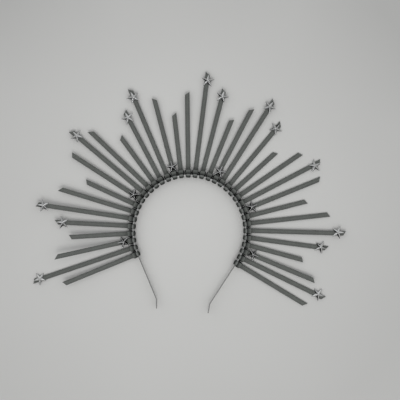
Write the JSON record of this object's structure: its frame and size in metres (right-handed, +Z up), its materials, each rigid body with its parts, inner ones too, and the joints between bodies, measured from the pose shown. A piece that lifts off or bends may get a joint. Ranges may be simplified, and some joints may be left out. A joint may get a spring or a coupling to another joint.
{
  "type": "tiara headband",
  "caption": "Sunburst crown headband: slant-cut strap rays stand out all round the arch of a thin steel hair band, some carrying faceted five-point star studs.",
  "frame": {"origin": "centre of the headband's round arch, on the plane that the crown lies on, which is the plane of the locking heads' back ends", "axes": "+Z up from that plane, out of the crown's front; +Y to the crown's top, along the headband's middle line; +X to the right as the front is looked at"},
  "size_m": [0.3266, 0.2524, 0.014],
  "materials": {
    "band_steel": "satin",
    "tie_nylon": "matt",
    "star_metal": "polished"
  },
  "bodies": {
    "root": {"headband": "band_steel", "tie_01": "tie_nylon", "tie_02": "tie_nylon", "tie_03": "tie_nylon", "tie_04": "tie_nylon", "tie_05": "tie_nylon", "tie_06": "tie_nylon", "tie_07": "tie_nylon", "tie_08": "tie_nylon", "tie_09": "tie_nylon", "tie_10": "tie_nylon", "tie_11": "tie_nylon", "tie_12": "tie_nylon", "tie_13": "tie_nylon", "tie_14": "tie_nylon", "tie_15": "tie_nylon", "tie_16": "tie_nylon", "tie_17": "tie_nylon", "tie_18": "tie_nylon", "tie_19": "tie_nylon", "tie_20": "tie_nylon", "tie_21": "tie_nylon", "tie_22": "tie_nylon", "tie_23": "tie_nylon", "tie_24": "tie_nylon", "tie_25": "tie_nylon", "tie_26": "tie_nylon", "tie_27": "tie_nylon", "tie_28": "tie_nylon", "tie_29": "tie_nylon", "tie_30": "tie_nylon", "tie_31": "tie_nylon", "tie_32": "tie_nylon", "tie_33": "tie_nylon", "tie_34": "tie_nylon", "tie_35": "tie_nylon", "star_01": "star_metal", "star_02": "star_metal", "star_03": "star_metal", "star_04": "star_metal", "star_05": "star_metal", "star_06": "star_metal", "star_07": "star_metal", "star_08": "star_metal", "star_09": "star_metal", "star_10": "star_metal", "star_11": "star_metal", "star_12": "star_metal", "star_13": "star_metal", "star_14": "star_metal", "star_15": "star_metal", "star_16": "star_metal", "star_17": "star_metal", "star_18": "star_metal", "star_19": "star_metal", "star_20": "star_metal"}
  },
  "joints": []
}
